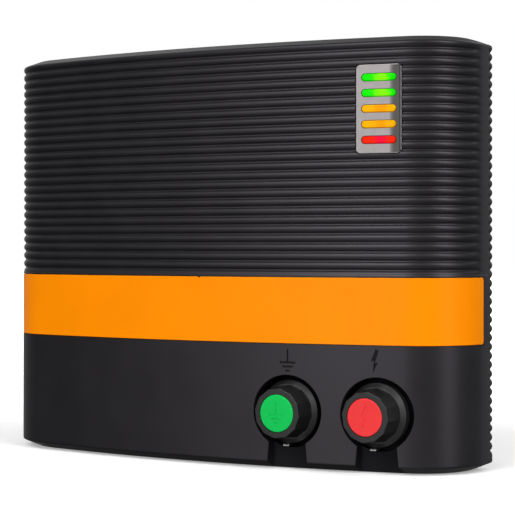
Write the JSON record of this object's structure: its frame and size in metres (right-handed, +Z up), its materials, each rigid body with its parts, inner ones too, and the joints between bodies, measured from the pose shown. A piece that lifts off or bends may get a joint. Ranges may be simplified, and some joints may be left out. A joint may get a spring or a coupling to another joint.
{
  "type": "fence energizer",
  "caption": "Wall-mounted electric fence energizer: ribbed two-part case, bow front with bar-graph window and label band, screw terminals in round pockets, keyholes in the back.",
  "frame": {"origin": "on the underside, at the middle of the overall width and depth", "axes": "+X to the right seen from the front, +Y from the front to the wall, +Z up"},
  "size_m": [0.298, 0.11, 0.23],
  "materials": {
    "case_plastic": "fine spark-eroded moulded texture, satin black",
    "knob_plastic": "smooth satin black moulding",
    "label_orange": "glossy printed film on a plastic strip",
    "window_grey": "satin metallic grey moulding",
    "bar_green": "translucent light bar",
    "bar_amber": "translucent light bar",
    "bar_red": "translucent light bar",
    "cap_green": "satin moulded insert",
    "cap_red": "satin moulded insert",
    "plated_steel": "bright zinc or nickel plating",
    "brass": "turned",
    "tinned_copper": "tinned",
    "seal_rubber": "matt moulded rubber",
    "board_laminate": "solder-masked laminate",
    "led_chip": "moulded",
    "capacitor_blue": "moulded box",
    "core_iron": "varnished laminations",
    "coil_copper": "enamelled winding",
    "coil_tape": "yellow tape over the winding",
    "heat_sink": "extruded",
    "black_epoxy": "moulded",
    "absorber_blue": "dipped",
    "fuse_glass": "clear tube",
    "lead_green": "insulated wire",
    "lead_red": "insulated wire"
  },
  "bodies": {
    "case": {"front_cover": "case_plastic", "rear_shell": "case_plastic", "case_seal": "seal_rubber", "label_strip": "label_orange", "led_window": "window_grey", "display_board": "board_laminate", "main_board": "board_laminate", "inlet_grommet": "seal_rubber", "storage_capacitor_1": "capacitor_blue", "storage_capacitor_2": "capacitor_blue", "pulse_transformer_core": "core_iron", "pulse_transformer_coil": "coil_copper", "supply_transformer_core": "core_iron", "supply_transformer_coil": "coil_tape", "heat_sink": "heat_sink", "thyristor": "black_epoxy", "fuse_holder": "black_epoxy", "fuse": "fuse_glass", "surge_absorber": "absorber_blue", "led_bar_1": "bar_green", "led_chip_1": "led_chip", "led_bar_2": "bar_green", "led_chip_2": "led_chip", "led_bar_3": "bar_amber", "led_chip_3": "led_chip", "led_bar_4": "bar_amber", "led_chip_4": "led_chip", "led_bar_5": "bar_red", "led_chip_5": "led_chip", "case_screw_1": "plated_steel", "case_screw_2": "plated_steel", "case_screw_3": "plated_steel", "case_screw_4": "plated_steel", "case_screw_5": "plated_steel", "case_screw_6": "plated_steel", "board_screw_1": "plated_steel", "board_screw_2": "plated_steel", "board_screw_3": "plated_steel", "board_screw_4": "plated_steel", "earth_contact_seat": "plated_steel", "earth_terminal_bolt": "plated_steel", "earth_ring_lug": "tinned_copper", "earth_lead": "lead_green", "fence_contact_seat": "plated_steel", "fence_terminal_bolt": "plated_steel", "fence_ring_lug": "tinned_copper", "fence_lead": "lead_red"},
    "earth_clamp": {"earth_clamp_washer": "plated_steel"},
    "earth_knob": {"earth_knob": "knob_plastic", "earth_knob_cap": "cap_green", "earth_knob_insert": "brass"},
    "fence_clamp": {"fence_clamp_washer": "plated_steel"},
    "fence_knob": {"fence_knob": "knob_plastic", "fence_knob_cap": "cap_red", "fence_knob_insert": "brass"}
  },
  "joints": [
    {"name": "earth_clamp_slide", "type": "slide", "parent": "case", "child": "earth_clamp", "axis": [0, -1, 0], "range_m": [0, 0.005]},
    {"name": "earth_knob_turn", "type": "hinge", "parent": "earth_clamp", "child": "earth_knob", "pos_m": [0.054, 0, 0.031], "axis": [0, -1, 0], "range_deg": [0, 1440]},
    {"name": "fence_clamp_slide", "type": "slide", "parent": "case", "child": "fence_clamp", "axis": [0, -1, 0], "range_m": [0, 0.005]},
    {"name": "fence_knob_turn", "type": "hinge", "parent": "fence_clamp", "child": "fence_knob", "pos_m": [0.1041, 0, 0.031], "axis": [0, -1, 0], "range_deg": [0, 1440]}
  ],
  "couplings": [
    {"joint": "earth_clamp_slide", "follows": "earth_knob_turn", "m_per_rad": 0.00019894},
    {"joint": "fence_clamp_slide", "follows": "fence_knob_turn", "m_per_rad": 0.00019894}
  ]
}
